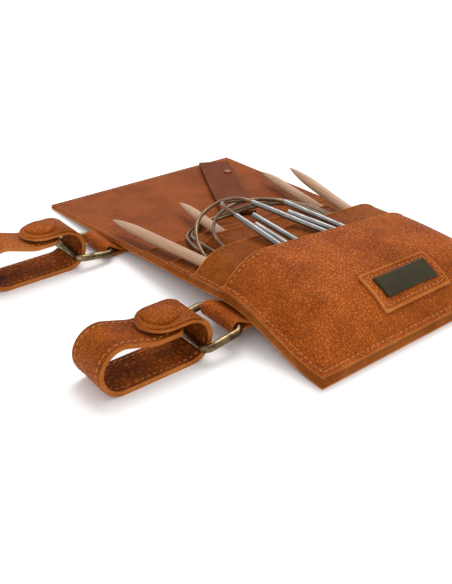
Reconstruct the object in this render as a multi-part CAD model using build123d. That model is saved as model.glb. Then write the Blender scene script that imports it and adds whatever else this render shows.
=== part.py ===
from build123d import *
import math
import os

os.makedirs("parts", exist_ok=True)

# Interchangeable needle set: an open leather case with pockets, two belt loops on rings,
# wooden and steel needle tips, and a coiled cable. All sizes are in millimetres.
# Case coordinates: x from the left edge, y from the bottom edge towards the flap, z up.

# ---- Case ----
CASE_W = 148.0  # across the pockets
CASE_L = 252.0  # bottom edge to the end of the open flap
CREASE_Y = 206.0  # where the flap folds
CREASE_GAP = 0.4
SHELL_T = 1.4  # outer leather
LINING_T = 0.8  # smooth inner leather
PLY_GAP = 0.2  # between leather plies that are sewn together
POCKET_GAP = 0.32  # between one pocket and the next
POCKET_T = 0.7  # the three inner pockets
FRONT_T = 1.2  # the front pocket's thicker leather

# The filled case arches over its contents and stands highest along its left edge.
CROWN = 13.0
CROWN_Y = 66.0
TILT = 0.85  # share of the arch that is lost at the right edge

# ---- Pockets: how far up each one opens and how far its leather bulges ----
REAR_Y = 143.0
SECOND_Y = 119.0
MIDDLE_Y = 96.0
FRONT_Y = 72.0
REAR_BULGE = 1.0
SECOND_BULGE = (10.4, 7.0)  # left, right
MIDDLE_BULGE = (10.9, 14.0)
FRONT_BULGE = (14.8, 14.8)

# ---- Tips ----
WOOD_R = 3.0
WOOD_L = 102.0  # the four-inch tips
WOOD_TAPER = 26.0
FERRULE_L = 9.0
SPIGOT_R = 1.9
SPIGOT_L = 4.0
STEEL_R = 1.6
STEEL_L = 78.0  # the short tips
STEEL_TAPER = 16.0
THREAD_R = 0.95
THREAD_L = 5.0
FIT = 0.05  # radial clearance of a screwed or glued joint
POINT_R = 0.45

# ---- Cable ----
CABLE_R = 1.0
BARREL_R = 1.5
BARREL_L = 8.0

# ---- Rings, tabs and belt loops ----
WIRE_R = 2.0
RING_Y = 30.0  # between the centres of the side bars
RING_CORNER = 4.0
BAR_IN_X = -6.5
BAR_OUT_X = -27.9
BAR_OUT_Z = 7.4
BAR_CLEAR = 0.3
TAB_W = 24.0
TAB_T = 1.7
TAB_REACH = 9.0  # how far the tab is sewn in under the case
STRAP_W = 23.0
STRAP_T = 2.4
LOOP_TURN_X = -67.8
LOOP_H = 20.0  # under the press stud
TURN_H = 25.0  # at the turn
TOP_SLOPE = 18.0  # degrees that the top falls from the turn to the press stud
EASE_R = 20.0
BEND_X = -33.3
SNAP_X = -41.5
SNAP_GAP = 2.2  # room for the press stud between the two leathers
TOP_END_X = -34.4
SNAP_SPLIT = 50.0  # degrees round the bend where the snap flap starts
SPLIT_GAP = 0.3
CAP_R = 8.6
CAP_H = 2.6
STUD_R = 2.4
SOCKET_R = 5.2
POST_R = 1.5
LOOPS = {"near": (62.0, 10.2, 8.7), "far": (178.0, 4.4, 2.0)}  # centre y, bar z, tab z

# ---- Front patch, plate and closing strap ----
PATCH_X = (50.0, 98.0)
PATCH_Y = (9.0, 29.0)
PATCH_T = 1.5
PLATE_W = 37.0
PLATE_L = 12.0
PLATE_T = 1.2
CLOSER_W = 21.8
CLOSER_L = 100.0
CLOSER_T = 2.0
CLOSER_TOP = (128.7, 243.6)
CLOSER_TURN = 28.4  # degrees off the case's length
CLOSER_LIFT = 1.0
RIVET_AT = (24.0, 6.4)  # along the strap from its end, and off its middle
RIVET_R = 1.5
RIVET_HEAD_R = 2.6

LOOP_REACH = LOOP_TURN_X - TURN_H / 2
X_MID = (CASE_W + LOOP_REACH) / 2
Y_MID = CASE_L / 2


def save(shape, name):
    """Moves a shape from case coordinates to the object's own origin and writes it."""
    export_step(Pos(-X_MID, -Y_MID, 0) * shape, f"parts/{name}.step")


# ---- Leather: surfaces over the arched case ----
def arch(x, y):
    """Height of the case's underside."""
    if y < CROWN_Y:
        rise = (1 - math.cos(math.pi * y / CROWN_Y)) / 2
    else:
        rise = ((CASE_L - y) / (CASE_L - CROWN_Y)) ** 1.05
    return CROWN * rise * (1 - TILT * x / CASE_W)


def limit(t):
    return min(max(t, 0.0), 1.0)


def ease(t):
    """Smooth step, level at both ends."""
    t = limit(t)
    return t * t * (3 - 2 * t)


def shoulder(t, power=2.5):
    """Steep at its start and level at its end, as leather over a full pocket."""
    return 1 - (1 - limit(t)) ** power


def lining_top(x, y):
    return arch(x, y) + SHELL_T + PLY_GAP + LINING_T


STACK = SHELL_T + LINING_T + 2 * PLY_GAP
SEAM = 2.5  # flat sewn margin


def rear_under(x, y):
    across = min(ease((x - 16) / 24), ease((CASE_W - 12 - x) / 24))
    return arch(x, y) + STACK + REAR_BULGE * across * ease((y - 90) / 40)


def second_under(x, y):
    bulge = SECOND_BULGE[0] + (SECOND_BULGE[1] - SECOND_BULGE[0]) * x / CASE_W
    across = min(ease((x - 18) / 16), ease((CASE_W - 13 - x) / 15))
    start = 52 + 12 * x / CASE_W
    run = 28 + 16 * x / CASE_W
    level = STACK + POCKET_T + POCKET_GAP
    return arch(x, y) + level + bulge * across * ease((y - start) / run)


def middle_under(x, y):
    bulge = MIDDLE_BULGE[0] + (MIDDLE_BULGE[1] - MIDDLE_BULGE[0]) * x / CASE_W
    across = min(shoulder((x - SEAM) / 22), shoulder((CASE_W - SEAM - x) / 24))
    level = STACK + 2 * (POCKET_T + POCKET_GAP)
    start = 30 - 10 * x / CASE_W
    return arch(x, y) + level + bulge * across * ease((y - start) / 60)


def front_under(x, y):
    bulge = FRONT_BULGE[0] + (FRONT_BULGE[1] - FRONT_BULGE[0]) * x / CASE_W
    across = min(shoulder((x - SEAM) / 29), shoulder((CASE_W - SEAM - x) / 28))
    level = STACK + 3 * (POCKET_T + POCKET_GAP)
    return arch(x, y) + level + bulge * across * shoulder((y - SEAM) / 36, 3)


def front_top(x, y):
    return front_under(x, y) + FRONT_T


def spaced(low, high, step):
    count = max(3, math.ceil((high - low) / step))
    return [low + (high - low) * i / count for i in range(count + 1)]


def sheet(height, x_run, y_run, thickness, step=3.0):
    """A leather sheet with its underside on height(x, y)."""
    xs = spaced(*x_run, step)
    rows = [[Vector(x, y, height(x, y)) for x in xs] for y in spaced(*y_run, step)]
    under = Face.make_surface_from_array_of_points(rows, tol=0.005)
    return Solid.extrude(under, Vector(0, 0, thickness))


def closer_point(along, off):
    """A point of the closing strap, from its end on the flap and off its middle line."""
    turn = math.radians(CLOSER_TURN)
    x = CLOSER_TOP[0] - along * math.sin(turn) + off * math.cos(turn)
    y = CLOSER_TOP[1] - along * math.cos(turn) - off * math.sin(turn)
    return x, y


def closer_under(x, y):
    return lining_top(x, y) + CLOSER_LIFT


# ---- Tips ----
def along_axis(low, high):
    """A plane at low whose normal points at high."""
    return Plane(origin=low, z_dir=Vector(*high) - Vector(*low))


def lower_end(top, through, length):
    """The point that lies length below top on the line from top through a second point."""
    top = Vector(*top)
    return top + (Vector(*through) - top).normalized() * length


def pointed_rod(radius, length, taper, bore_r, bore_l):
    """A needle along +Z with its point at the top and a bore in its foot."""
    with BuildPart() as rod:
        with BuildSketch(Plane.XZ):
            with BuildLine():
                Line((0, 0), (radius, 0))
                Line((radius, 0), (radius, length - taper))
                belly = (radius * 0.72, length - taper * 0.42)
                ThreePointArc((radius, length - taper), belly, (POINT_R, length - POINT_R))
                Line((POINT_R, length - POINT_R), (0, length))
                Line((0, length), (0, 0))
            make_face()
        revolve(axis=Axis.Z)
    return rod.part - Pos(0, 0, bore_l / 2) * Cylinder(bore_r, bore_l)


def wood_tip(name, point, through):
    foot = lower_end(point, through, WOOD_L)
    place = along_axis(foot, point)
    wood = Pos(0, 0, FERRULE_L) * pointed_rod(
        WOOD_R, WOOD_L - FERRULE_L, WOOD_TAPER, POST_R / 4, 1.0
    )
    spigot = Pos(0, 0, FERRULE_L - SPIGOT_L / 2) * Cylinder(SPIGOT_R, SPIGOT_L)
    save(place.location * (wood + spigot), f"wood_tip_{name}")
    ferrule = Pos(0, 0, FERRULE_L / 2) * Cylinder(WOOD_R, FERRULE_L)
    ferrule -= Pos(0, 0, FERRULE_L - SPIGOT_L / 2) * Cylinder(SPIGOT_R + FIT, SPIGOT_L + FIT)
    ferrule -= Pos(0, 0, THREAD_L / 2 - FIT) * Cylinder(THREAD_R + FIT, THREAD_L)
    ferrule = chamfer(ferrule.edges().group_by(Axis.Z)[0].sort_by(SortBy.RADIUS)[-1], 0.4)
    save(place.location * ferrule, f"tip_ferrule_{name}")


def steel_tip(name, top, through):
    """A steel tip that stands in the pocket with its point down and its socket up."""
    foot = lower_end(top, through, STEEL_L)
    place = Plane(origin=top, z_dir=foot - Vector(*top))
    rod = pointed_rod(STEEL_R, STEEL_L, STEEL_TAPER, THREAD_R + FIT, THREAD_L + FIT)
    save(place.location * rod, f"steel_tip_{name}")


def cable_end(name, top, through):
    """The crimped barrel that screws into the socket of a steel tip."""
    place = along_axis(through, top)
    place = Plane(origin=top, z_dir=place.z_dir)
    barrel = Pos(0, 0, BARREL_L / 2) * Cylinder(BARREL_R, BARREL_L)
    barrel = chamfer(barrel.edges().group_by(Axis.Z)[-1], 0.3)
    stud = Pos(0, 0, -THREAD_L / 2) * Cylinder(THREAD_R, THREAD_L)
    save(place.location * (barrel + stud), f"cable_end_{name}")
    return Vector(*top) + place.z_dir * BARREL_L


# ---- Cable ----
def corner_radii(points):
    """The largest arc that each pair of runs allows."""
    radii = []
    for a, b, c in zip(points, points[1:], points[2:]):
        before, after = Vector(*b) - Vector(*a), Vector(*c) - Vector(*b)
        half = math.radians(before.get_angle(after)) / 2
        radii.append(0.45 * min(before.length, after.length) / math.tan(half))
    return radii


def cable(points):
    radii = corner_radii(points)
    print("cable radii", [round(r, 1) for r in radii])
    path = FilletPolyline(*points, radius=radii)
    start = Plane(origin=path @ 0, z_dir=path % 0)
    tube = sweep(start * Circle(CABLE_R), path=path)
    print("cable length", round(path.length, 1), "volume", round(tube.volume, 1),
          "section x length", round(math.pi * CABLE_R**2 * path.length, 1))
    return tube


# ---- Rings and belt loops ----
def ring(bar_z, y):
    """A rectangular wire ring between its bar in the tab and its bar in the belt loop."""
    inner = Vector(BAR_IN_X, y, bar_z)
    outer = Vector(BAR_OUT_X, y, BAR_OUT_Z)
    plane = Plane(origin=(inner + outer) / 2, x_dir=outer - inner, z_dir=(outer - inner).cross(Vector(0, 1, 0)))
    outline = plane * RectangleRounded((outer - inner).length, RING_Y, RING_CORNER)
    wire = outline.wire()
    return sweep(Plane(origin=wire @ 0, z_dir=wire % 0) * Circle(WIRE_R), path=wire)


def tab(bar_z, tail_z, y):
    """A strip folded round the ring's bar, with both ends sewn together under the case."""
    hole_r = WIRE_R + BAR_CLEAR
    fold = Pos(BAR_IN_X, bar_z) * Circle(hole_r + TAB_T)
    tail_l = TAB_REACH - BAR_IN_X
    tail = Pos(BAR_IN_X + tail_l / 2, tail_z) * Rectangle(tail_l, 2 * TAB_T)
    profile = fold + tail - Pos(BAR_IN_X, bar_z) * Circle(hole_r)
    return extrude(Plane.XZ.offset(-y) * profile, amount=TAB_W / 2, both=True)


def strap_run(path, y):
    """A strap of the belt loop: its section swept along a line in the XZ plane."""
    line = Pos(0, y, 0) * path
    section = Plane(origin=line @ 0, z_dir=line % 0, x_dir=(0, 1, 0)) * Rectangle(STRAP_W, STRAP_T)
    return sweep(section, path=line)


BEND_H = LOOP_H + SNAP_GAP + STRAP_T
BEND_R = (BEND_H - STRAP_T) / 2  # of the strap's middle
TURN_R = (TURN_H - STRAP_T) / 2


def bend_point(angle, radius=BEND_R):
    """A point on the bend that wraps the ring's bar, by its angle from level."""
    a = math.radians(angle)
    return (BEND_X + radius * math.cos(a), 0, BEND_H / 2 + radius * math.sin(a))


def rounded_end(x_tip, y, radius, towards=-1):
    """A tall prism that rounds off the end of a strap."""
    length = 60.0
    plan = Pos(x_tip - towards * length / 2, y) * Rectangle(length, STRAP_W)
    corners = plan.vertices().group_by(Axis.X)[0 if towards < 0 else -1]
    return extrude(fillet(corners, radius), amount=60)


def loop_strap(y):
    """From the bend round the ring's bar, along the floor, round the turn and back on top."""
    half = STRAP_T / 2
    split = SNAP_SPLIT - math.degrees(SPLIT_GAP / BEND_R)
    bend = ThreePointArc(bend_point(split), bend_point(-20), bend_point(-90))
    floor = Line((BEND_X, 0, half), (LOOP_TURN_X, 0, half))
    slope = math.radians(TOP_SLOPE)
    level = LOOP_H - half
    turn_x, turn_z = LOOP_TURN_X + TURN_R * math.sin(slope), TURN_H / 2 + TURN_R * math.cos(slope)
    turn_mid = (LOOP_TURN_X - TURN_R, 0, TURN_H / 2)
    turn = ThreePointArc((LOOP_TURN_X, 0, half), turn_mid, (turn_x, 0, turn_z))
    drop = turn_z - level - EASE_R * (1 - math.cos(slope))
    fall_x, fall_z = turn_x + drop / math.tan(slope), turn_z - drop
    fall = Line((turn_x, 0, turn_z), (fall_x, 0, fall_z))
    level_x = fall_x + EASE_R * math.sin(slope)
    ease_mid = (level_x - EASE_R * math.sin(slope / 2), 0, level + EASE_R * (1 - math.cos(slope / 2)))
    easing = ThreePointArc((fall_x, 0, fall_z), ease_mid, (level_x, 0, level))
    top = Line((level_x, 0, level), (TOP_END_X - 10, 0, level))
    end_low = (TOP_END_X - 5, y, level)
    end = Pos(*end_low) * Box(10, STRAP_W, STRAP_T)
    end = end & rounded_end(TOP_END_X, y, 6.0, towards=1)
    strap = strap_run(Wire([bend, floor, turn, fall, easing, top]), y) + end
    return strap - Pos(SNAP_X, y, LOOP_H) * Cylinder(POST_R + FIT, 3 * STRAP_T)


def snap_flap(y):
    """The end of the strap that closes over the belt loop."""
    top_z = BEND_H - STRAP_T / 2
    bend = ThreePointArc(bend_point(SNAP_SPLIT), bend_point(70), bend_point(90))
    run = Line((BEND_X, 0, top_z), (SNAP_X - STRAP_W / 2, 0, top_z))
    flap = strap_run(Wire([bend, run]), y) & rounded_end(SNAP_X - STRAP_W / 2, y, STRAP_W / 2 - 0.1)
    return flap - Pos(SNAP_X, y, top_z) * Cylinder(POST_R + FIT, 3 * STRAP_T)


def snap_parts(y):
    """Cap with its post on top, socket under the flap and stud on the strap below."""
    flap_low = BEND_H - STRAP_T
    crown_r = (CAP_R**2 + CAP_H**2) / (2 * CAP_H)
    dome = Pos(0, 0, CAP_H - crown_r) * Sphere(crown_r)
    dome &= Pos(0, 0, CAP_H / 2) * Cylinder(CAP_R - 0.2, CAP_H)
    post_l = STRAP_T + 0.8
    post = Pos(0, 0, -post_l / 2) * Cylinder(POST_R, post_l)
    cap = Pos(SNAP_X, y, BEND_H + 0.02) * (dome + post)
    socket = Pos(0, 0, -0.75) * Cylinder(SOCKET_R, 1.5) - Pos(0, 0, -0.4) * Cylinder(POST_R + FIT, 0.8)
    socket -= Pos(0, 0, -1.15) * Cylinder(STUD_R + 2 * FIT, 0.7)
    socket = Pos(SNAP_X, y, flap_low - 0.02) * socket
    plate = Pos(0, 0, 0.25) * Cylinder(SOCKET_R, 0.45)
    stud = plate + Pos(0, 0, 0.85) * Cylinder(STUD_R, 0.8)
    stud += Pos(0, 0, -STRAP_T / 2) * Cylinder(POST_R, STRAP_T + 0.6)
    stud = Pos(SNAP_X, y, LOOP_H + 0.02) * stud
    return cap, socket, stud


# ---- Case leather ----
crease_low, crease_high = CREASE_Y - CREASE_GAP / 2, CREASE_Y + CREASE_GAP / 2
full_x = (0.0, CASE_W)
lining_under = SHELL_T + PLY_GAP

rivet_x, rivet_y = closer_point(*RIVET_AT)
rivet_hole = Pos(rivet_x, rivet_y, 5) * Cylinder(RIVET_R + FIT, 20)

save(sheet(arch, full_x, (0, crease_low), SHELL_T, 9.0), "back_shell")
save(sheet(arch, full_x, (crease_high, CASE_L), SHELL_T, 9.0) - rivet_hole, "flap_shell")
lining = sheet(lambda x, y: arch(x, y) + lining_under, full_x, (0, crease_low), LINING_T, 9.0)
save(lining, "back_lining")
lining = sheet(lambda x, y: arch(x, y) + lining_under, full_x, (crease_high, CASE_L), LINING_T, 9.0)
save(lining - rivet_hole, "flap_lining")
save(sheet(rear_under, full_x, (0, REAR_Y), POCKET_T), "pocket_rear")
save(sheet(second_under, full_x, (0, SECOND_Y), POCKET_T), "pocket_second")
save(sheet(middle_under, full_x, (0, MIDDLE_Y), POCKET_T), "pocket_middle")
save(sheet(front_under, full_x, (0, FRONT_Y), FRONT_T), "pocket_front")

# ---- Front patch and its plate ----
save(sheet(lambda x, y: front_top(x, y) + PLY_GAP, PATCH_X, PATCH_Y, PATCH_T, 3.0), "front_patch")
plate_x, plate_y = sum(PATCH_X) / 2, sum(PATCH_Y) / 2
plate_z = front_top(plate_x, plate_y) + PLY_GAP + PATCH_T
plate_rise = front_top(plate_x, plate_y + 5) - front_top(plate_x, plate_y - 5)
plate_run = front_top(plate_x + 15, plate_y) - front_top(plate_x - 15, plate_y)
plate_plane = Plane(
    origin=(plate_x, plate_y, plate_z + 0.15), x_dir=(30, 0, plate_run),
    z_dir=Vector(30, 0, plate_run).cross(Vector(0, 10, plate_rise)),
)
plate = Pos(0, 0, PLATE_T / 2) * Box(PLATE_W, PLATE_L, PLATE_T)
plate = chamfer(plate.edges().group_by(Axis.Z)[-1], 0.7)
save(plate_plane.location * plate, "front_plate")

# ---- Closing strap, in two pieces that meet at the crease ----
rows = []
for along in spaced(0, CLOSER_L, 8.0):
    points = [closer_point(along, off) for off in spaced(-CLOSER_W / 2, CLOSER_W / 2, 5.0)]
    rows.append([Vector(x, y, closer_under(x, y)) for x, y in points])
closer = Face.make_surface_from_array_of_points(rows, tol=0.005)
closer = Solid.extrude(closer, Vector(0, 0, CLOSER_T))
big = 400.0
on_flap = Pos(0, crease_high + big / 2, 0) * Box(2 * big, big, big)
on_case = Pos(0, crease_low - big / 2, 0) * Box(2 * big, big, big)
save((closer & on_flap) - rivet_hole, "closing_strap_end")
save(closer & on_case, "closing_strap_tail")
rivet_top = closer_under(rivet_x, rivet_y) + CLOSER_T
rivet_low = arch(rivet_x, rivet_y)
head = Pos(0, 0, 0.45) * Cylinder(RIVET_HEAD_R, 0.9)
head = fillet(head.edges().group_by(Axis.Z)[-1], 0.5)
rivet = Pos(rivet_x, rivet_y, rivet_top + PLY_GAP) * head
post_l = rivet_top + PLY_GAP - rivet_low + 0.3
rivet += Pos(rivet_x, rivet_y, rivet_top + PLY_GAP - post_l / 2) * Cylinder(RIVET_R, post_l)
save(rivet, "closing_strap_rivet")

# ---- Tabs, rings and belt loops ----
for place, (y, bar_z, tail_z) in LOOPS.items():
    save(tab(bar_z, tail_z, y), f"ring_tab_{place}")
    save(ring(bar_z, y), f"ring_{place}")
    save(loop_strap(y), f"loop_strap_{place}")
    save(snap_flap(y), f"snap_flap_{place}")
    cap, socket, stud = snap_parts(y)
    save(cap, f"snap_cap_{place}")
    save(socket, f"snap_socket_{place}")
    save(stud, f"snap_stud_{place}")

# ---- Wooden tips: the point, and a second point on the axis ----
WOOD_TIPS = {
    "left": ((6.9, 183.3, 14.0), (11.5, 100.8, 18.0)),
    "centre": ((55.5, 183.3, 12.0), (44.5, 128.5, 15.1)),
    "right": ((136.5, 197.9, 9.1), (123.5, 137.2, 9.9)),
    "raised": ((126.0, 158.7, 26.0), (119.0, 102.3, 18.9)),
}
for name, (point, through) in WOOD_TIPS.items():
    wood_tip(name, point, through)

# ---- Steel tips: the socket end, and a second point on the axis ----
STEEL_TIPS = {
    "a": ((40.8, 101.3, 32.3), (42.0, 74.7, 28.1)),
    "b": ((44.4, 97.3, 31.2), (46.5, 76.2, 27.8)),
    "c": ((49.1, 105.1, 32.8), (53.6, 76.4, 27.5)),
    "d": ((61.6, 110.6, 32.3), (73.9, 78.5, 26.5)),
    "e": ((76.8, 110.2, 31.3), (87.6, 77.0, 25.6)),
    "f": ((69.9, 99.8, 30.6), (80.1, 76.6, 26.3)),
}
for name, (top, through) in STEEL_TIPS.items():
    steel_tip(name, top, through)

# ---- Cable: screwed to steel tips a and d, and coiled through the pockets ----
# Each turn of the coil: its radius, how far its top swells out, the hour where it starts,
# and the height of the cable at each hour from there, clockwise. It dips into the middle
# pocket from three to nine. Two turns then lie low, under the centre wooden tip.
COIL_X, COIL_Y = 61.5, 98.0
COIL_LEAN = 10.0  # degrees before twelve o'clock where the swell is greatest
HOURS = 12
COIL_TURNS = [
    (34.0, 0.0, 0, (28.8, 27.4, 24.8)),
    (37.0, 0.0, 3, (20.6, 18.6, 17.0, 17.1, 20.4, 23.9, 21.6, 23.4, 25.8, 27.0, 26.4, 24.4)),
    (40.0, 19.0, 3, (20.2, 18.2, 16.2, 16.2, 19.6, 22.8, 19.8, 17.5, 10.9, 8.1, 19.0, 22.2)),
    (43.0, 19.0, 3, (19.6, 17.8, 15.5, 15.3, 18.9, 21.2, 16.9, 15.0, 10.2, 8.3, 19.4, 22.0)),
    (46.0, 0.0, 3, (18.6, 17.2, 14.9, 14.4, 18.6, 20.8, 16.4)),
]
LEAD_IN = [(40.1, 117.2, 34.8), (43.0, 125.6, 34.2), (50.5, 131.0, 31.5)]
LEAD_OUT = [
    (17.0, 109.5, 18.6), (21.5, 120.5, 22.9), (29.0, 129.0, 26.9), (39.0, 132.4, 30.0),
    (49.0, 131.0, 33.2), (56.3, 124.5, 34.8),
]


def coil_points():
    """The corners of the coil's path, twelve to a turn."""
    points = []
    for radius, swell, first_hour, heights in COIL_TURNS:
        for hour, height in enumerate(heights, first_hour):
            angle = 2 * math.pi * hour / HOURS
            top = max(0.0, math.cos(angle + math.radians(COIL_LEAN)))
            reach = radius + swell * top**4
            x, y = COIL_X + reach * math.sin(angle), COIL_Y + reach * math.cos(angle)
            points.append((x, y, height))
    return points


first = cable_end("a", *STEEL_TIPS["a"])
last = cable_end("d", *STEEL_TIPS["d"])
save(cable([first, *LEAD_IN, *coil_points(), *LEAD_OUT, last]), "cable")
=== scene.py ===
# %% [markdown]
# A needle set in its leather case
#
# The case lies open. Wooden and steel needle tips stand in its pockets, a coiled cable
# runs through them, and two belt loops hang on wire rings at the side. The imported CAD
# model is the frame: this script puts leather, thread, metal and wood on it.

import math

import bmesh
import bpy
from mathutils import Matrix, Vector
from mathutils.bvhtree import BVHTree


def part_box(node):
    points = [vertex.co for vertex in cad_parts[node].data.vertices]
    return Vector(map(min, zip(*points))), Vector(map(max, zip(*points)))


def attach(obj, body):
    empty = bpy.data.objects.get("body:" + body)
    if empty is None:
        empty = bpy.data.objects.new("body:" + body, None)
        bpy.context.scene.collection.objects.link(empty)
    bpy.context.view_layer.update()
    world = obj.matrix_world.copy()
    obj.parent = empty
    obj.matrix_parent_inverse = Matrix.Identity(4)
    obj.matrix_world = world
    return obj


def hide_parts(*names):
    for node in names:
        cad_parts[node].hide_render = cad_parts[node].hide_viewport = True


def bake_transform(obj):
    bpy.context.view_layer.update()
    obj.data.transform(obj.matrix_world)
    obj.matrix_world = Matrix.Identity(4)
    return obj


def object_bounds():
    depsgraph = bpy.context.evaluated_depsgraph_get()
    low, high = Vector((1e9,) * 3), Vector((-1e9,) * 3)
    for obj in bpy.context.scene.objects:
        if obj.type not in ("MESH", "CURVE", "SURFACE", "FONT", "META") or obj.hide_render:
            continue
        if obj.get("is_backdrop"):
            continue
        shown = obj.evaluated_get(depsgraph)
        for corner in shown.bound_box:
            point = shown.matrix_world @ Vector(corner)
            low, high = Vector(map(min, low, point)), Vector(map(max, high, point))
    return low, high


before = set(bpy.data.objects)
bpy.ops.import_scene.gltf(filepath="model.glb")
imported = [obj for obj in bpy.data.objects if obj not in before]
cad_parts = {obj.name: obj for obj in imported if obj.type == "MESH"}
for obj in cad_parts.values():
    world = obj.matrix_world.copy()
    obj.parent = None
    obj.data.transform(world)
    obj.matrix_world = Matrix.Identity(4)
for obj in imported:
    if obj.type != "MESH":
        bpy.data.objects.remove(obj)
CAD_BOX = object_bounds()
MM = 0.001
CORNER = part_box("back_shell")[0]  # the case's lower left corner
CASE_W = (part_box("back_shell")[1].x - CORNER.x) / MM
CASE_L = (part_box("flap_shell")[1].y - CORNER.y) / MM
print("case", round(CASE_W, 1), "by", round(CASE_L, 1), "mm")


def at(x, y, z=0.0):
    """A place on the case: x from its left edge, y from its bottom edge, z up, in mm."""
    return Vector((CORNER.x + x * MM, CORNER.y + y * MM, z * MM))


# %% [markdown]
# The camera
#
# It stands low at the case's lower left corner, so the near belt loop comes to the front
# and the flap runs away behind. A camera could be aimed with a constraint, but an export
# drops constraints, so the direction is worked out once from a turn and a pitch.

# %% Camera
CAMERA_AT = at(-197.2, -180.5, 200.0)
CAMERA_TURN = math.radians(38.54)
CAMERA_PITCH = math.radians(29.74)
camera_data = bpy.data.cameras.new("camera")
camera_data.sensor_width = 36.0
camera_data.lens = 46.7
camera_data.clip_start = 0.01
camera = bpy.data.objects.new("camera", camera_data)
bpy.context.scene.collection.objects.link(camera)
look = Vector((
    math.sin(CAMERA_TURN) * math.cos(CAMERA_PITCH),
    math.cos(CAMERA_TURN) * math.cos(CAMERA_PITCH),
    -math.sin(CAMERA_PITCH),
))
camera.location = CAMERA_AT
camera.rotation_mode = "QUATERNION"
camera.rotation_quaternion = look.to_track_quat("-Z", "Y")
bpy.context.scene.camera = camera
print("camera", [round(v, 3) for v in camera.location])

# %% [markdown]
# Floor and light
#
# A product table is white and lit so strongly that it has no edge or horizon. One soft
# sun behind the case on the right throws the soft shadow that lies along its left side,
# a weak one in front on the left brightens the edges that face the camera, and a bright
# sky fills the rest. The plain colour transform keeps white paper white.


# %% Floor, lamps and sky
FLOOR_HALF = 60.0  # m, far enough that a low camera sees little beyond it
SKY_STRENGTH = 0.80


def own_material(name):
    """A new material: its node tree and its Principled shader."""
    material = bpy.data.materials.new(name)
    material.use_nodes = True
    return material, material.node_tree, material.node_tree.nodes["Principled BSDF"]


def add(tree, kind, **values):
    """A node of this kind, with its own properties set."""
    node = tree.nodes.new(kind)
    for key, value in values.items():
        setattr(node, key, value)
    return node


def sun(name, direction, strength, spread, colour=(1.0, 1.0, 1.0)):
    """Daylight from one side, softened by its spread in degrees."""
    data = bpy.data.lights.new(name, "SUN")
    data.angle = math.radians(spread)
    data.energy = strength
    data.color = colour
    thing = bpy.data.objects.new(name, data)
    bpy.context.scene.collection.objects.link(thing)
    thing.rotation_mode = "QUATERNION"
    thing.rotation_quaternion = Vector(direction).to_track_quat("-Z", "Y")


floor_bm = bmesh.new()
bmesh.ops.create_grid(floor_bm, x_segments=1, y_segments=1, size=FLOOR_HALF)
floor_mesh = bpy.data.meshes.new("floor")
floor_bm.to_mesh(floor_mesh)
floor_bm.free()
floor = bpy.data.objects.new("floor", floor_mesh)
bpy.context.scene.collection.objects.link(floor)
floor_look, _, floor_shader = own_material("white_table")
floor_shader.inputs["Base Color"].default_value = (0.97, 0.97, 0.97, 1.0)
floor_shader.inputs["Roughness"].default_value = 0.75
floor_shader.inputs["Specular IOR Level"].default_value = 0.1
floor_mesh.materials.append(floor_look)
floor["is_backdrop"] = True

sun("key", (-0.42, -0.30, -0.86), 1.75, 40.0, (1.0, 0.97, 0.93))
sun("front_fill", (0.70, 0.55, -0.45), 0.55, 50.0)
sky = bpy.data.worlds.new("sky")
sky.use_nodes = True
sky.node_tree.nodes["Background"].inputs["Color"].default_value = (1.0, 1.0, 1.0, 1.0)
sky.node_tree.nodes["Background"].inputs["Strength"].default_value = SKY_STRENGTH
bpy.context.scene.world = sky
bpy.context.scene.view_settings.view_transform = "Standard"

# %% [markdown]
# Leather
#
# Waxed cowhide has pebbles about a millimetre wide with fine creases between them, pores
# in the pebbles, and a colour that drifts from orange to brown. A scan of a real hide
# could be laid on it. Cell and noise patterns are used instead, because they have no
# seams and one group serves every piece: each leather sets only its own grain and tones.


# %% Grain group
WANDER_PER_M, WANDER_M = 520.0, 0.0026  # how often, and how far, the creases leave their cells
PORES_PER_M, PORES_SHARE = 2600.0, 0.25
ROLLS_PER_M, ROLLS_SHARE = 210.0, 1.1  # soft waves a few millimetres long
PATCHES_PER_M = 34.0  # where the colour drifts
PATCHES_FROM, PATCHES_TO = 0.33, 0.67


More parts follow.
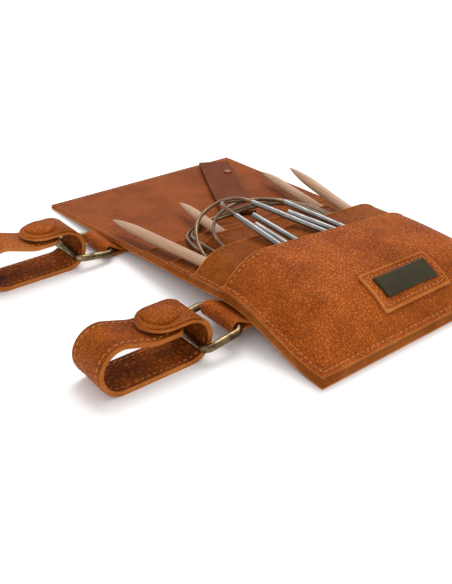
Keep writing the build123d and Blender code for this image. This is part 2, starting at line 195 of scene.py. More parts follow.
def grain_group():
    """Leather grain: a height for the bump and a mask that drifts between two tones."""
    tree = bpy.data.node_groups.new("leather_grain", "ShaderNodeTree")
    face = tree.interface
    face.new_socket("Vector", in_out="INPUT", socket_type="NodeSocketVector")
    face.new_socket("Pebbles per metre", in_out="INPUT", socket_type="NodeSocketFloat")
    face.new_socket("Crease width", in_out="INPUT", socket_type="NodeSocketFloat")
    face.new_socket("Height", in_out="OUTPUT", socket_type="NodeSocketFloat")
    face.new_socket("Crease", in_out="OUTPUT", socket_type="NodeSocketFloat")
    face.new_socket("Drift", in_out="OUTPUT", socket_type="NodeSocketFloat")
    start, end = add(tree, "NodeGroupInput"), add(tree, "NodeGroupOutput")
    link = tree.links.new
    warp = add(tree, "ShaderNodeTexNoise")
    warp.inputs["Scale"].default_value = WANDER_PER_M
    warp.inputs["Detail"].default_value = 3.0
    link(start.outputs["Vector"], warp.inputs["Vector"])
    bend = add(tree, "ShaderNodeVectorMath", operation="MULTIPLY_ADD")
    bend.inputs[1].default_value = (WANDER_M, WANDER_M, WANDER_M)
    link(warp.outputs["Color"], bend.inputs[0])
    link(start.outputs["Vector"], bend.inputs[2])
    cells = add(tree, "ShaderNodeTexVoronoi", feature="DISTANCE_TO_EDGE")
    link(bend.outputs["Vector"], cells.inputs["Vector"])
    link(start.outputs["Pebbles per metre"], cells.inputs["Scale"])
    crease = add(tree, "ShaderNodeMapRange", interpolation_type="SMOOTHSTEP")
    link(cells.outputs["Distance"], crease.inputs["Value"])
    link(start.outputs["Crease width"], crease.inputs["From Max"])
    pores = add(tree, "ShaderNodeTexNoise")
    pores.inputs["Scale"].default_value = PORES_PER_M
    pores.inputs["Detail"].default_value = 2.0
    link(start.outputs["Vector"], pores.inputs["Vector"])
    rolls = add(tree, "ShaderNodeTexNoise")
    rolls.inputs["Scale"].default_value = ROLLS_PER_M
    rolls.inputs["Detail"].default_value = 4.0
    link(start.outputs["Vector"], rolls.inputs["Vector"])
    fine = add(tree, "ShaderNodeMath", operation="MULTIPLY_ADD")
    fine.inputs[1].default_value = PORES_SHARE
    link(pores.outputs["Fac"], fine.inputs[0])
    link(crease.outputs["Result"], fine.inputs[2])
    whole = add(tree, "ShaderNodeMath", operation="MULTIPLY_ADD")
    whole.inputs[1].default_value = ROLLS_SHARE
    link(rolls.outputs["Fac"], whole.inputs[0])
    link(fine.outputs["Value"], whole.inputs[2])
    broad = add(tree, "ShaderNodeTexNoise")
    broad.inputs["Scale"].default_value = PATCHES_PER_M
    broad.inputs["Detail"].default_value = 6.0
    broad.inputs["Roughness"].default_value = 0.62
    link(start.outputs["Vector"], broad.inputs["Vector"])
    drift = add(tree, "ShaderNodeMapRange", interpolation_type="SMOOTHSTEP")
    drift.inputs["From Min"].default_value = PATCHES_FROM
    drift.inputs["From Max"].default_value = PATCHES_TO
    link(broad.outputs["Fac"], drift.inputs["Value"])
    link(whole.outputs["Value"], end.inputs["Height"])
    link(crease.outputs["Result"], end.inputs["Crease"])
    link(drift.outputs["Result"], end.inputs["Drift"])
    return tree


GRAIN = grain_group()
print("grain group sockets", len(GRAIN.interface.items_tree))


# %% Leather finishes
# The grain's height scales each leather's colour: painted shade in its creases and hollows, a
# painted highlight on its ridges, and a random mottle from its soft waves.
HOLLOW, RIDGE = 0.75, 1.85  # heights of the grain where its colour is darkest and lightest
HOLLOW_PAINTED_SHADE, RIDGE_PAINTED_HIGHLIGHT = 0.70, 1.12


def leather(name, dark, light, pebbles, crease, depth, rough=(0.42, 0.68)):
    """A leather: two tones, pebbles to the metre, the creases' width and the grain's depth.

    It is less rough on its pebbles and rougher in its creases.
    """
    material, tree, shader = own_material(name)
    link = tree.links.new
    place = add(tree, "ShaderNodeTexCoord")
    grain = add(tree, "ShaderNodeGroup", node_tree=GRAIN)
    link(place.outputs["Object"], grain.inputs["Vector"])
    grain.inputs["Pebbles per metre"].default_value = pebbles
    grain.inputs["Crease width"].default_value = crease
    tones = add(tree, "ShaderNodeMix", data_type="RGBA")
    tones.inputs[6].default_value = (*dark, 1.0)
    tones.inputs[7].default_value = (*light, 1.0)
    link(grain.outputs["Drift"], tones.inputs[0])
    # Painted shade and highlight: the colour is darkened in the grain's creases and lightened on
    # its raised pebbles.
    lines = add(tree, "ShaderNodeMapRange")
    lines.inputs["From Min"].default_value = HOLLOW
    lines.inputs["From Max"].default_value = RIDGE
    lines.inputs["To Min"].default_value = HOLLOW_PAINTED_SHADE
    lines.inputs["To Max"].default_value = RIDGE_PAINTED_HIGHLIGHT
    link(grain.outputs["Height"], lines.inputs["Value"])
    shade = add(tree, "ShaderNodeVectorMath", operation="SCALE")
    link(tones.outputs[2], shade.inputs[0])
    link(lines.outputs["Result"], shade.inputs["Scale"])
    link(shade.outputs["Vector"], shader.inputs["Base Color"])
    dull = add(tree, "ShaderNodeMapRange")
    dull.inputs["To Min"].default_value = rough[1]
    dull.inputs["To Max"].default_value = rough[0]
    link(grain.outputs["Crease"], dull.inputs["Value"])
    link(dull.outputs["Result"], shader.inputs["Roughness"])
    bump = add(tree, "ShaderNodeBump")
    bump.inputs["Strength"].default_value = 0.9
    bump.inputs["Distance"].default_value = depth
    link(grain.outputs["Height"], bump.inputs["Height"])
    link(bump.outputs["Normal"], shader.inputs["Normal"])
    shader.inputs["Specular IOR Level"].default_value = 0.05
    return material


PEBBLED = leather(
    "pebbled_leather", dark=(0.285, 0.060, 0.006), light=(0.43, 0.100, 0.014),
    pebbles=560.0, crease=0.16, depth=0.00034,
)
SMOOTH = leather(
    "smooth_leather", dark=(0.195, 0.040, 0.004), light=(0.280, 0.063, 0.008),
    pebbles=900.0, crease=0.10, depth=0.00006,
)
POCKET = leather(
    "pocket_leather", dark=(0.195, 0.044, 0.004), light=(0.29, 0.072, 0.007),
    pebbles=700.0, crease=0.15, depth=0.00018,
)
STRAP = leather(
    "strap_leather", dark=(0.205, 0.041, 0.003), light=(0.41, 0.098, 0.010),
    pebbles=560.0, crease=0.15, depth=0.00026,
)
# Rough flesh side with deep grain; its darker tone is painted shade inside the belt loops.
ROUGH_INSIDE_PAINTED_SHADE = leather(
    "strap_inside_painted_shade", dark=(0.125, 0.024, 0.002), light=(0.40, 0.090, 0.008),
    pebbles=330.0, crease=0.30, depth=0.00060,
)
DARK = leather(
    "closing_strap_leather", dark=(0.125, 0.026, 0.005), light=(0.175, 0.039, 0.009),
    pebbles=900.0, crease=0.10, depth=0.00006,
)
CUT = leather(
    "cut_edge", dark=(0.42, 0.115, 0.018), light=(0.60, 0.205, 0.050),
    pebbles=1500.0, crease=0.30, depth=0.00010, rough=(0.7, 0.85),
)
print("leathers", [m.name for m in bpy.data.materials])

# %% [markdown]
# Thread, metal, wood and cable
#
# Thread is waxed linen. The rings and the plate are brass that has gone brown, the steel
# tips are satin from polishing along their length, and the wooden tips are pale birch with
# grain along the needle. Metals could be one flat grey, but it is the scratches and the
# uneven tarnish that make them read as metal, so each has its own noise in its roughness.


# %% Other finishes
DARKEST, LIGHTEST = 0.35, 0.65  # where the noise is all dark and all light


def plain(name, dark, light, scale, rough, metal=0.0, stretch=(1.0, 1.0, 1.0), depth=0.00002):
    """A finish of two tones mixed by a noise, stretched along a direction."""
    material, tree, shader = own_material(name)
    link = tree.links.new
    place = add(tree, "ShaderNodeTexCoord")
    drawn = add(tree, "ShaderNodeMapping")
    drawn.inputs["Scale"].default_value = stretch
    link(place.outputs["Object"], drawn.inputs["Vector"])
    noise = add(tree, "ShaderNodeTexNoise")
    noise.inputs["Scale"].default_value = scale
    noise.inputs["Detail"].default_value = 5.0
    link(drawn.outputs["Vector"], noise.inputs["Vector"])
    mask = add(tree, "ShaderNodeMapRange")
    mask.inputs["From Min"].default_value = DARKEST
    mask.inputs["From Max"].default_value = LIGHTEST
    link(noise.outputs["Fac"], mask.inputs["Value"])
    tones = add(tree, "ShaderNodeMix", data_type="RGBA")
    tones.inputs[6].default_value = (*dark, 1.0)
    tones.inputs[7].default_value = (*light, 1.0)
    link(mask.outputs["Result"], tones.inputs[0])
    link(tones.outputs[2], shader.inputs["Base Color"])
    dull = add(tree, "ShaderNodeMapRange")
    dull.inputs["To Min"].default_value = rough[1]
    dull.inputs["To Max"].default_value = rough[0]
    link(mask.outputs["Result"], dull.inputs["Value"])
    link(dull.outputs["Result"], shader.inputs["Roughness"])
    bump = add(tree, "ShaderNodeBump")
    bump.inputs["Strength"].default_value = 0.4
    bump.inputs["Distance"].default_value = depth
    link(noise.outputs["Fac"], bump.inputs["Height"])
    link(bump.outputs["Normal"], shader.inputs["Normal"])
    shader.inputs["Metallic"].default_value = metal
    return material


THREAD = plain(
    "waxed_thread", (0.38, 0.13, 0.035), (0.58, 0.25, 0.085), 3000.0, (0.6, 0.8)
)
BRASS = plain(
    "aged_brass", (0.075, 0.052, 0.027), (0.25, 0.180, 0.095), 260.0, (0.22, 0.42), metal=1.0
)
PLATE = plain(
    "dark_plate", (0.026, 0.021, 0.009), (0.040, 0.033, 0.014), 150.0, (0.34, 0.46), metal=0.8
)
STEEL = plain(
    "satin_steel", (0.20, 0.195, 0.195), (0.30, 0.295, 0.295), 500.0, (0.38, 0.46), metal=1.0,
    stretch=(1.0, 0.04, 1.0), depth=0.000004,
)
BIRCH = plain(
    "birch", (0.39, 0.215, 0.120), (0.47, 0.285, 0.170), 900.0, (0.38, 0.5),
    stretch=(1.0, 0.05, 1.0), depth=0.00001,
)
COPPER = plain(
    "dark_copper", (0.16, 0.055, 0.02), (0.38, 0.14, 0.05), 700.0, (0.3, 0.5), metal=0.9
)
CABLE = plain(
    "cable_sheath", (0.085, 0.043, 0.016), (0.20, 0.120, 0.055), 160.0, (0.2, 0.3), metal=0.5
)
print("finishes", len(bpy.data.materials))

# %% [markdown]
# Sheets of leather
#
# Each ply of the case is a cut sheet that is laid over what is under it. It could be a
# cloth simulation, but stiff leather that is sewn at its edges takes the shape of its
# pocket and keeps it. So a flat grid is cut where creases run and dropped straight down
# onto the top of its CAD part, then Solidify gives it its ply and Bevel softens the rim.


# %% Drop a sheet onto its part
SET_IN = 2e-5  # m that a sheet ends inside its part, so that a ray still meets the part
ABOUT_TOP = 0.02  # m, the height of the leathers


def top_of(*nodes):
    """A function that gives the height of the top of these parts at a place.

    Beside the parts it gives the height of their nearest edge.
    """
    trees = []
    for node in nodes:
        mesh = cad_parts[node].data
        corners = [v.co for v in mesh.vertices]
        trees.append(BVHTree.FromPolygons(corners, [p.vertices for p in mesh.polygons]))

    def height(x, y):
        hits = [tree.ray_cast(Vector((x, y, 1.0)), Vector((0, 0, -1)))[0] for tree in trees]
        hits = [hit.z for hit in hits if hit is not None]
        if hits:
            return max(hits)
        spots = [tree.find_nearest(Vector((x, y, ABOUT_TOP))) for tree in trees]
        spot = min(spots, key=lambda s: (s[0].xy - Vector((x, y))).length)
        return spot[0].z

    return height


def keep(name, bm, looks):
    """A finished mesh as an object at the origin."""
    mesh = bpy.data.meshes.new(name)
    bm.to_mesh(mesh)
    bm.free()
    for material in looks:
        mesh.materials.append(material)
    for face in mesh.polygons:
        face.use_smooth = True
    piece = bpy.data.objects.new(name, mesh)
    bpy.context.scene.collection.objects.link(piece)
    return piece


def ply(piece, thickness, rim=0.35, offset=-1.0, inner=0):
    """Gives a sheet its thickness, with a cut rim of its own finish and rounded corners.

    Its other side can have a finish of its own, inner places after the first.
    """
    solid = piece.modifiers.new("ply", "SOLIDIFY")
    solid.thickness = thickness * MM
    solid.offset = offset
    solid.use_even_offset = True
    solid.material_offset_rim = 1
    solid.material_offset = inner
    soft = piece.modifiers.new("soft_rim", "BEVEL")
    soft.width = rim * MM
    soft.segments = 2
    soft.limit_method = "ANGLE"
    soft.angle_limit = math.radians(50.0)
    return piece


def cut(bm, axis, places):
    """Cuts a flat grid along lines, so that it can crease there."""
    for place in places:
        centre = Vector((0, 0, 0))
        centre[axis] = place
        normal = Vector((0, 0, 0))
        normal[axis] = 1.0
        everything = bm.verts[:] + bm.edges[:] + bm.faces[:]
        bmesh.ops.bisect_plane(bm, geom=everything, plane_co=centre, plane_no=normal, dist=1e-6)


EDGE_CUTS = (0.5, 1.1, 1.7, 2.2, 2.7, 3.3)  # mm in from an edge
RISE, RISE_AT, RISE_WIDTH = 0.16, 1.1, 0.8  # mm, outside a row of stitches
DIP, DIP_WIDTH = 0.22, 0.55  # mm, under the thread
SEAM_IN = 2.6  # mm from an edge to its stitches
TURNED_EDGE = 1.1  # mm, the light rim of a pocket's opening and of the patch
TURN_RISE, TURN_AT = 0.3, 0.9  # mm that an opening's rim stands up, and where
FAR_IN = 99.0  # mm, for a sheet without stitches


def crease(inset):
    """How far leather rises beside a stitched edge and dips under the thread, in mm."""
    rise = RISE * math.exp(-(((inset - RISE_AT) / RISE_WIDTH) ** 2))
    dip = DIP * math.exp(-(((inset - SEAM_IN) / DIP_WIDTH) ** 2))
    return rise - dip


def sheet(name, nodes, thickness, looks, spacing=2.2, creased=(), light_edges=()):
    """A sheet over the box of its parts, dropped onto their tops.

    Its creased sides rise beside a stitch line and dip under it. Its light edges show the cut
    finish, and a light top edge also rises, where the leather is turned over.
    """
    height = top_of(*nodes)
    low = Vector((min(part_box(n)[0].x for n in nodes), min(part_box(n)[0].y for n in nodes)))
    high = Vector((max(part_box(n)[1].x for n in nodes), max(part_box(n)[1].y for n in nodes)))
    middle_point, half = (low + high) / 2, (high - low) / 2
    bm = bmesh.new()
    across = max(4, round(2 * half.x / MM / spacing))
    along = max(4, round(2 * half.y / MM / spacing))
    bmesh.ops.create_grid(bm, x_segments=across, y_segments=along, size=1.0)
    bmesh.ops.scale(bm, vec=(half.x - SET_IN, half.y - SET_IN, 1.0), verts=bm.verts)
    bmesh.ops.translate(bm, vec=(middle_point.x, middle_point.y, 0.0), verts=bm.verts)
    for side, axis, edge, sign in (("left", 0, low.x, 1), ("right", 0, high.x, -1),
                                   ("bottom", 1, low.y, 1), ("top", 1, high.y, -1)):
        if side in creased:
            cut(bm, axis, [edge + sign * inset * MM for inset in EDGE_CUTS])
    for v in bm.verts:
        insets = {"left": v.co.x - low.x, "right": high.x - v.co.x,
                  "bottom": v.co.y - low.y, "top": high.y - v.co.y}
        nearest = min(insets[side] for side in creased) / MM if creased else FAR_IN
        lift = crease(nearest)
        if "top" in light_edges:
            lift += TURN_RISE * math.exp(-(((insets["top"] / MM - TURN_AT) / TURN_AT) ** 2))
        v.co.z = height(v.co.x, v.co.y) + lift * MM
    for face in bm.faces:
        centre = face.calc_center_median()
        insets = {"left": centre.x - low.x, "right": high.x - centre.x,
                  "bottom": centre.y - low.y, "top": high.y - centre.y}
        if any(insets[side] < TURNED_EDGE * MM for side in light_edges):
            face.material_index = 1
    return ply(keep(name, bm, looks), thickness)


def case_sheet(name, nodes, body, slot, *args, **kwargs):
    """A sheet that stands for its parts, which it hides, under its body's empty when it is given
    a body.
    """
    piece = sheet(name, nodes, *args, **kwargs)
    if body is not None:
        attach(piece, body)
    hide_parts(*nodes)
    print(name, "faces", len(piece.data.polygons))
    return piece


# %% [markdown]
# Stitches
#
# A saddle stitch is a row of short slanted threads, each sunk a little at both ends. It
# could be a bump in the leather, but a real thread stands proud and catches the light. So
# each stitch is a small flattened bead of a few dozen faces, set along a line on the sheet.


# %% A row of stitches
STITCH_STEP = 3.3  # mm from one stitch to the next
STITCH_L = 2.5
THREAD_R = 0.27
SLANT = 0.16  # how far a stitch leans sideways for its length
SINK = 0.1  # mm that a stitch lies in the leather


def stitch_row(bm, points, normal_at):
    """Beads along a line of points, each lying on the surface."""
    length = sum((b - a).length for a, b in zip(points, points[1:]))
    count = max(1, round(length / (STITCH_STEP * MM)))
    marks = [length * (i + 0.5) / count for i in range(count)]
    walked, index = 0.0, 0
    for mark in marks:
        while index < len(points) - 2:
            size = (points[index + 1] - points[index]).length
            if walked + size >= mark:
                break
            walked += size
            index += 1
        run = points[index + 1] - points[index]
        place = points[index] + run.normalized() * (mark - walked)
        up = normal_at(place)
        ahead = (run - up * run.dot(up)).normalized()
        side = up.cross(ahead).normalized()
        ahead = (ahead + side * SLANT).normalized()
        side = up.cross(ahead).normalized()
        turn = Matrix((ahead, side, up)).transposed().to_4x4()
        bead = Matrix.Diagonal((STITCH_L / 2 * MM, THREAD_R * MM, THREAD_R * MM, 1.0))
        bmesh.ops.create_uvsphere(
            bm, u_segments=6, v_segments=6, radius=1.0,
            matrix=Matrix.Translation(place) @ turn @ bead,
        )


def stitched(name, lines, nodes, body):
    """Rows of stitches on the tops of parts. Each line is a pair of (x, y) places in mm."""
    height = top_of(*nodes)
    bm = bmesh.new()

    def normal_at(place):
        step = 0.8 * MM
        run_x = height(place.x + step, place.y) - height(place.x - step, place.y)
        run_y = height(place.x, place.y + step) - height(place.x, place.y - step)
        return Vector((-run_x, -run_y, 2 * step)).normalized()

    for start, end in lines:
        a, b = at(*start), at(*end)
        count = max(2, round((b - a).length / (4 * MM)))
        points = []
        for i in range(count + 1):
            p = a.lerp(b, i / count)
            p.z = height(p.x, p.y) - SINK * MM
            points.append(p)
        stitch_row(bm, points, normal_at)
    piece = keep(name, bm, [THREAD])
    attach(piece, body)
    print(name, "faces", len(piece.data.polygons))


# %% [markdown]
# The case
#
# The outer leather and the smooth lining each run in one sheet from the bottom edge,
# over the crease and out to the end of the flap. They could be split at the crease, as the
# CAD is, but then a gap would open when the flap folds up. So each is one sheet.

# %% Shell and lining
SHELL_T, LINING_T, POCKET_T, FRONT_T, PATCH_T = 1.4, 0.8, 0.7, 1.2, 1.5  # mm, as in the CAD
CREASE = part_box("flap_shell")[0].y - 0.2 * MM  # the middle of the CAD parts' gap
ALL_SIDES = ("left", "right", "bottom", "top")
shell = case_sheet(
    "case_shell", ("back_shell", "flap_shell"), None, "tan_leather", SHELL_T,
    [PEBBLED, CUT], spacing=3.0,
)
lining = case_sheet(
    "case_lining", ("back_lining", "flap_lining"), None, "inner_leather", LINING_T,
    [SMOOTH, CUT], creased=ALL_SIDES,
)
for piece in (shell, lining):
    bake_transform(piece)

# %% Pockets
REAR_Y, SECOND_Y, MIDDLE_Y, FRONT_Y = [
    (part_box(f"pocket_{name}")[1].y - CORNER.y) / MM
    for name in ("rear", "second", "middle", "front")
]
for name in ("rear", "second", "middle"):
    case_sheet(
        f"{name}_pocket", (f"pocket_{name}",), "case", "inner_leather", POCKET_T, [POCKET, CUT],
        creased=("left", "right", "top"), light_edges=("top",),
    )
case_sheet(
    "front_pocket", ("pocket_front",), "case", "tan_leather", FRONT_T, [PEBBLED, CUT],
    spacing=1.8, creased=ALL_SIDES, light_edges=("top",),
)

# %% Seams of the case
W, L, S = CASE_W, CASE_L, SEAM_IN
MARGIN = 4.0  # mm that the opening's row stops short of the side rows
BEND_MARGIN = 9  # mm that the side rows stop short of the flap's crease
CREASE_Y = (CREASE - CORNER.y) / MM


def side_rows(low, high):
    """A row of stitches along each side of the case between two heights on it."""
    return [((S, low), (S, high)), ((W - S, low), (W - S, high))]


stitched("front_pocket_seam", [
    ((S, FRONT_Y - S), (S, S)), ((S, S), (W - S, S)), ((W - S, S), (W - S, FRONT_Y - S)),
    ((MARGIN, FRONT_Y - S), (W - MARGIN, FRONT_Y - S)),
], ("pocket_front",), "case")
for name, low, high, node in (
    ("side_seams", FRONT_Y, MIDDLE_Y, "pocket_middle"),
    ("second_side_seams", MIDDLE_Y, SECOND_Y, "pocket_second"),
    ("rear_side_seams", SECOND_Y, REAR_Y, "pocket_rear"),
):
    stitched(name, side_rows(low + 1, high - 1), (node,), "case")
stitched("lining_seam", side_rows(REAR_Y + 1, CREASE_Y - BEND_MARGIN), ("back_lining",), "case")
left_row, right_row = side_rows(CREASE_Y + BEND_MARGIN, L - S)
stitched("flap_seam", [left_row, ((S, L - S), (W - S, L - S)), right_row], ("flap_lining",),
         "flap")

# %% [markdown]
# The closing strap
#
# A strap sewn to the flap closes the case. It lies across the crease at a slant, so it is
# one strip, standing a little proud of the lining. Its heights are read from its CAD
# parts; its turn and size are the same as theirs.

# %% Closing strap
CLOSER_TURN = math.radians(28.4)  # off the case's length
CLOSER_W, CLOSER_L, CLOSER_T = 21.8, 100.0, 2.0
SHRINK = 0.006  # of the way to the middle, so that a ray meets the part at its edge
CLOSER_CREASE = 0.6  # of the depth that creases have on the case
closer_nodes = ("closing_strap_end", "closing_strap_tail")
closer_top = at(128.7, 243.6)  # the middle of its end on the flap
closer_height = top_of(*closer_nodes)
back_along = Vector((-math.sin(CLOSER_TURN), -math.cos(CLOSER_TURN), 0.0))
off_side = Vector((math.cos(CLOSER_TURN), -math.sin(CLOSER_TURN), 0.0))
bm = bmesh.new()
bmesh.ops.create_grid(bm, x_segments=50, y_segments=12, size=1.0)
bmesh.ops.scale(bm, vec=(CLOSER_L / 2 * MM, CLOSER_W / 2 * MM, 1.0), verts=bm.verts)
for side_axis, half_size in ((0, CLOSER_L / 2), (1, CLOSER_W / 2)):
    for inset in EDGE_CUTS:
        cut(bm, side_axis, [(half_size - inset) * MM, (inset - half_size) * MM])
for v in bm.verts:
    along, off = v.co.x / MM, v.co.y / MM
    inset = min(CLOSER_L / 2 - abs(along), CLOSER_W / 2 - abs(off))
    place = closer_top + back_along * (CLOSER_L / 2 + along) * MM + off_side * off * MM
    inside = place + (closer_top + back_along * CLOSER_L / 2 * MM - place) * SHRINK
    z = closer_height(inside.x, inside.y) + CLOSER_CREASE * crease(inset) * MM
    v.co = (place.x, place.y, z)
closer = ply(keep("closing_strap", bm, [DARK, DARK]), CLOSER_T)
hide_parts(*closer_nodes)
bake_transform(closer)
print("closing strap", CLOSER_L, "by", CLOSER_W, "mm")

# %% [markdown]
# The front patch and its plate
#
# A raised patch on the front pocket carries a small metal plate, left blank here. It is
# one more sheet, laid on the bulge of the pocket and stitched all round.

# %% Patch
patch_low, patch_high = [(corner - CORNER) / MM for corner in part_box("front_patch")]
case_sheet("patch", ("front_patch",), "case", "tan_leather", PATCH_T, [PEBBLED, CUT],
           spacing=1.2, creased=ALL_SIDES, light_edges=ALL_SIDES)
left, right = patch_low.x + S, patch_high.x - S
bottom, top = patch_low.y + S, patch_high.y - S
stitched("patch_seam", [
    ((left, bottom), (right, bottom)), ((right, bottom), (right, top)),
    ((right, top), (left, top)), ((left, top), (left, bottom)),
], ("front_patch",), "case")


# %% Plate and rivet
def finish_node(node, material, smooth=True):
    """Gives a CAD part that keeps its own shape its finish."""
    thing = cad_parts[node]
    for slot in thing.material_slots:
        slot.material = material
    for face in thing.data.polygons:
        if smooth:
            face.use_smooth = True


finish_node("front_plate", PLATE, smooth=False)
finish_node("closing_strap_rivet", COPPER, smooth=False)

# %% [markdown]
# Straps bent along a path
#
# The tabs and the belt loops are strips of thick leather that bend round a bar. A strip
# could be a flat mesh with a Curve modifier. Here its grid is bent row by row along a
# path of straight runs and arcs, so its width can also shrink to a rounded end.


# %% Bend a strip along a path
def arc(centre, radius, start, end, step=8.0):
    """Points on an arc in the XZ plane, in mm and degrees."""
    count = max(2, math.ceil(abs(end - start) / step))
    turns = [math.radians(start + (end - start) * i / count) for i in range(count + 1)]
    return [(centre[0] + radius * math.cos(t), centre[1] + radius * math.sin(t)) for t in turns]


def walk(path):
    """The length of a path and a function that gives the place and direction along it."""
    points = [Vector((x, 0.0, z)) for x, z in path]
    points = [p for i, p in enumerate(points) if i == 0 or (p - points[i - 1]).length > 1e-4]
    sizes = [(b - a).length for a, b in zip(points, points[1:])]
    total = sum(sizes)

    def place(distance):
        distance = min(max(distance, 0.0), total - 1e-6)
        for i, size in enumerate(sizes):
            if distance <= size or i == len(sizes) - 1:
                break
            distance -= size
        ahead = (points[i + 1] - points[i]).normalized()
        return points[i] + ahead * distance, ahead

    return total, place


STRIP_STEP, STRIP_COLUMN = 1.4, 1.5  # mm along a strip and across it
STRIP_RIM = 0.45
STRIP_CREASE = 0.5  # of the depth that creases have on the case
STRAP_SEAM_IN = 2.4
STRIP_CUTS = (0.4, 1.0, 1.8, 2.6, 3.4)  # mm in from its sides


def strip(name, path, y, width, thickness, looks, round_end=0.0, offset=0.0, inner=0):
    """A strip of leather with its middle surface on a path. Its far end can be rounded."""
    total, place = walk(path)
    bm = bmesh.new()
    rows, columns = round(total / STRIP_STEP), round(width / STRIP_COLUMN)
    bmesh.ops.create_grid(bm, x_segments=rows, y_segments=columns, size=1.0)
    for inset in STRIP_CUTS:
        cut(bm, 1, [1 - 2 * inset / width, 2 * inset / width - 1])
        if round_end:
            cut(bm, 0, [1 - inset / total])
    for v in bm.verts:
        distance, share = (v.co.x + 1) / 2 * total, v.co.y
        half = width / 2
        short_of = round_end - (total - distance)  # how far into the rounded end
        if short_of > 0:
            bow = math.sqrt(max(round_end**2 - short_of**2, 0.02))
            half = min(half, width / 2 - round_end + bow)
        inset = half * (1 - abs(share))
        point, ahead = place(distance)
        out = Vector((-ahead.z, 0.0, ahead.x))
        lift = offset + STRIP_CREASE * crease(inset)
        spot = point + out * lift
        v.co = at(spot.x, y + share * half, spot.z)
    return ply(keep(name, bm, looks), thickness, STRIP_RIM, 0.0, inner)


def strip_seam(name, path, y, width, lift, body, start, end):
    """Stitches along both sides of a strip, at a height off its middle surface."""
    total, place = walk(path)
    bm = bmesh.new()
    for side in (-1, 1):
        points, ups = [], []
        count = max(2, round((total - start - end) / 1.5))
        for i in range(count + 1):
            point, ahead = place(start + (total - start - end) * i / count)
            out = Vector((-ahead.z, 0.0, ahead.x))
            spot = point + out * lift
            points.append(at(spot.x, y + side * (width / 2 - STRAP_SEAM_IN), spot.z))
            ups.append(out if lift > 0 else -out)

        def normal_at(p):
            nearest = min(range(len(points)), key=lambda k: (points[k] - p).length)
            return ups[nearest]

        stitch_row(bm, points, normal_at)
    piece = keep(name, bm, [THREAD])
    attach(piece, body)


# %% Tabs
TAB_T, TAB_W, TAB_REACH = 1.7, 24.0, 9.0
TAB_HOLE_R = 2.3  # round the ring's wire, with room to turn
BAR_IN_X = -6.5  # the ring's inner bar, outside the case's edge
TAB_BEND_X = 2.0  # where the tab leaves the case's underside
LOOPS = {"near": (62.0, 10.2, 8.7), "far": (178.0, 4.4, 2.0)}  # middle y, bar z, tab z
for side, (y, bar_z, tail_z) in LOOPS.items():
    fold_r = TAB_HOLE_R + TAB_T / 2
    path = [(TAB_REACH, tail_z - TAB_T / 2), (TAB_BEND_X, tail_z - TAB_T / 2)]
    path += arc((BAR_IN_X, bar_z), fold_r, -75, -285, 10)
    path += [(TAB_BEND_X, tail_z + TAB_T / 2), (TAB_REACH, tail_z + TAB_T / 2)]
    piece = strip(f"tab_{side}", path, y, TAB_W, TAB_T, [PEBBLED, CUT])
    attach(piece, "case")
    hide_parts(f"ring_tab_{side}")
    print(piece.name, "faces", len(piece.data.polygons))

# %% [markdown]
# The belt loops
#
# Each loop is one thick strap. It starts round the ring's bar, runs back under itself,
# turns up and returns on top, and its other end folds over and closes with a press stud.
# Its inside is the rough flesh side of the hide, a finish of its own that Solidify gives
# to the sheet's other face; its darker tone is painted shade inside the loop. The
# fold-over end is two plies, the upper one cut a little smaller all round.

# %% Paths of the belt loops
STRAP_W, STRAP_T = 23.0, 2.4
LOOP_TURN_X, TURN_H = -67.8, 25.0  # the turn at the far end from the case
LOOP_H = 20.0  # under the press stud
TOP_SLOPE, EASE_R = 18.0, 20.0  # how the top falls from the turn, and levels out
TOP_END_X = -34.4
BEND_X = -33.3  # the bend round the ring's outer bar
SNAP_X, SNAP_GAP = -41.5, 2.2
SNAP_SPLIT = 50.0  # degrees round the bend where the fold-over end starts
BEND_H = LOOP_H + SNAP_GAP + STRAP_T
BEND_R = (BEND_H - STRAP_T) / 2
TURN_R = (TURN_H - STRAP_T) / 2
LEVEL = LOOP_H - STRAP_T / 2
loop_path = arc((BEND_X, BEND_H / 2), BEND_R, SNAP_SPLIT - 1.5, -90)
slope = math.radians(TOP_SLOPE)
loop_path += arc((LOOP_TURN_X, TURN_H / 2), TURN_R, -90, -270 - TOP_SLOPE)
drop = loop_path[-1][1] - LEVEL - EASE_R * (1 - math.cos(slope))
ease_x = loop_path[-1][0] + drop / math.tan(slope) + EASE_R * math.sin(slope)
loop_path += arc((ease_x, LEVEL + EASE_R), EASE_R, -90 - TOP_SLOPE, -90, 4)
loop_path += [(TOP_END_X, LEVEL)]
flap_path = arc((BEND_X, BEND_H / 2), BEND_R, SNAP_SPLIT, 90)
flap_path += [(SNAP_X - STRAP_W / 2, BEND_H - STRAP_T / 2)]
print("belt loop path", round(walk(loop_path)[0]), "mm, its end", round(walk(flap_path)[0]), "mm")

# %% Leather cap
CAP_R, CAP_H = 8.4, 2.6
CAP_DOME = 0.8  # below 1, so the dome is a little flatter than a ball's


def cap_dome(side):
    """A shallow dome of leather over the press stud's cap."""
    low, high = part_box(f"snap_cap_{side}")
    centre = Vector(((low.x + high.x) / 2, (low.y + high.y) / 2, BEND_H * MM))
    bm = bmesh.new()
    bmesh.ops.create_uvsphere(bm, u_segments=48, v_segments=24, radius=1.0)
    everything = bm.verts[:] + bm.edges[:] + bm.faces[:]
    bmesh.ops.bisect_plane(bm, geom=everything, plane_co=(0, 0, 0), plane_no=(0, 0, -1),
                           clear_outer=True, dist=1e-6)
    bmesh.ops.holes_fill(bm, edges=[e for e in bm.edges if e.is_boundary])
    for v in bm.verts:
        v.co.z = max(v.co.z, 0.0) ** CAP_DOME
    bmesh.ops.scale(bm, vec=(CAP_R * MM, CAP_R * MM, CAP_H * MM), verts=bm.verts)
    bmesh.ops.translate(bm, vec=centre, verts=bm.verts)
    bmesh.ops.recalc_face_normals(bm, faces=bm.faces)
    return keep(f"cap_leather_{side}", bm, [STRAP])


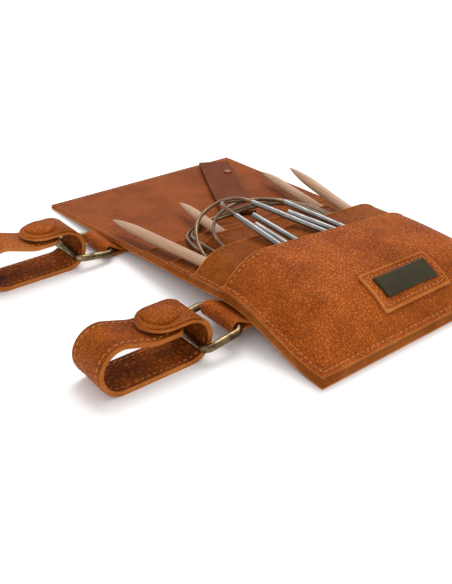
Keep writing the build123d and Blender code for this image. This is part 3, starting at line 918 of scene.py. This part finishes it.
# %% Belt loops
UNDER_T, OVER_T = 1.3, 1.1  # the two plies of the fold-over end
UNDER_DOWN, OVER_UP = 0.55, -0.65  # from the middle of the strap; down is ahead of this path
LEDGE = 1.5  # mm that the upper ply is smaller all round
short_path = flap_path[:-1] + [(flap_path[-1][0] + LEDGE, flap_path[-1][1])]
for side, (y, *_) in LOOPS.items():
    loop_body, snap_body = f"belt_loop_{side}", f"snap_{side}"
    loop = strip(f"loop_strap_leather_{side}", loop_path, y, STRAP_W, STRAP_T,
                 [STRAP, CUT, ROUGH_INSIDE_PAINTED_SHADE], round_end=6.0, inner=2)
    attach(loop, loop_body)
    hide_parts(f"loop_strap_{side}")
    strip_seam(f"loop_seam_in_{side}", loop_path, y, STRAP_W, STRAP_T / 2, loop_body, 12.0, 8.0)
    strip_seam(f"loop_seam_out_{side}", loop_path, y, STRAP_W, -STRAP_T / 2, loop_body, 12.0, 8.0)
    under = strip(f"snap_under_{side}", flap_path, y, STRAP_W, UNDER_T, [STRAP, CUT],
                  round_end=STRAP_W / 2 - 0.05, offset=UNDER_DOWN)
    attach(under, snap_body)
    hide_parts(f"snap_flap_{side}")
    over = strip(f"snap_over_{side}", short_path, y, STRAP_W - 2 * LEDGE, OVER_T, [STRAP, CUT],
                 round_end=STRAP_W / 2 - LEDGE - 0.05, offset=OVER_UP)
    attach(over, snap_body)
    cap = cap_dome(side)
    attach(cap, snap_body)
    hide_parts(f"snap_cap_{side}")
    for node in (f"snap_socket_{side}", f"snap_stud_{side}", f"ring_{side}"):
        finish_node(node, BRASS)
    print("belt loop", side, "faces", len(loop.data.polygons))

# %% [markdown]
# Needle tips
#
# The tips are turned parts, and their CAD shape is already exact, so only their finish is
# added: birch with fine grain along the needle, and steel polished lengthwise.

# %% Needle tips
for name in ("left", "centre", "right", "raised"):
    finish_node(f"wood_tip_{name}", BIRCH)
    finish_node(f"tip_ferrule_{name}", BRASS)
for name in "abcdef":
    finish_node(f"steel_tip_{name}", STEEL)
for name in "ad":
    finish_node(f"cable_end_{name}", STEEL)

# %% [markdown]
# The cable
#
# A stiff nylon-covered cable, two millimetres thick, joins two of the steel tips. It is
# coiled nearly four times and tucked into the middle pocket. It could be drawn as one
# free curve, but its turns are regular, so a loop works them out, hour by hour.

# %% Cable route
COIL_X, COIL_Y, COIL_LEAN, HOURS = 61.5, 98.0, 10.0, 12  # mm, mm, degrees, points a turn
# Each turn: its radius, its swell at the top, its first hour and its height at each hour.
COIL_TURNS = [
    (34.0, 0.0, 0, (28.8, 27.4, 24.8)),
    (37.0, 0.0, 3, (20.6, 18.6, 17.0, 17.1, 20.4, 23.9, 21.6, 23.4, 25.8, 27.0, 26.4, 24.4)),
    (40.0, 19.0, 3, (20.2, 18.2, 16.2, 16.2, 19.6, 22.8, 19.8, 17.5, 10.9, 8.1, 19.0, 22.2)),
    (43.0, 19.0, 3, (19.6, 17.8, 15.5, 15.3, 18.9, 21.2, 16.9, 15.0, 10.2, 8.3, 19.4, 22.0)),
    (46.0, 0.0, 3, (18.6, 17.2, 14.9, 14.4, 18.6, 20.8, 16.4)),
]
# From tip a to the first turn, and from the last turn to tip d.
LEAD_IN = [(40.1, 117.2, 34.8), (43.0, 125.6, 34.2), (50.5, 131.0, 31.5)]
LEAD_OUT = [
    (17.0, 109.5, 18.6), (21.5, 120.5, 22.9), (29.0, 129.0, 26.9), (39.0, 132.4, 30.0),
    (49.0, 131.0, 33.2), (56.3, 124.5, 34.8),
]
# The screwed end of a steel tip, and its point.
TIP_A = (Vector((40.8, 101.3, 32.3)), Vector((42.0, 74.7, 28.1)))
TIP_D = (Vector((61.6, 110.6, 32.3)), Vector((73.9, 78.5, 26.5)))
BARREL_L, CABLE_R = 8.0, 1.0


def barrel_end(top, through):
    """Where the cable leaves its metal end, in line with the steel tip."""
    return top + (top - through).normalized() * BARREL_L


route = [tuple(barrel_end(*TIP_A)), *LEAD_IN]
for radius, swell, first_hour, heights in COIL_TURNS:
    for hour, height in enumerate(heights, first_hour):
        angle = 2 * math.pi * hour / HOURS
        crest = max(0.0, math.cos(angle + math.radians(COIL_LEAN)))
        reach = radius + swell * crest**4
        route.append((COIL_X + reach * math.sin(angle), COIL_Y + reach * math.cos(angle), height))
route += [*LEAD_OUT, tuple(barrel_end(*TIP_D))]

# %% Cable
curve = bpy.data.curves.new("cable_line", "CURVE")
curve.dimensions = "3D"
line = curve.splines.new("NURBS")
line.points.add(len(route) - 1)
for point, place in zip(line.points, route):
    point.co = (*at(*place), 1.0)
line.order_u = 3
line.use_endpoint_u = True
curve.resolution_u = 8
curve.bevel_depth = CABLE_R * MM
curve.bevel_resolution = 4
curve.use_fill_caps = True
curve.materials.append(CABLE)
cable = bpy.data.objects.new("coiled_cable", curve)
bpy.context.scene.collection.objects.link(cable)
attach(cable, "case")
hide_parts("cable")
print("cable points", len(route))

# %% Sizes and the end
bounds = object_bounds()
for name, cad, visual in zip(("low", "high"), CAD_BOX, bounds):
    print(name, "corner moved by", [round((b - a) / MM, 1) for a, b in zip(cad, visual)], "mm")
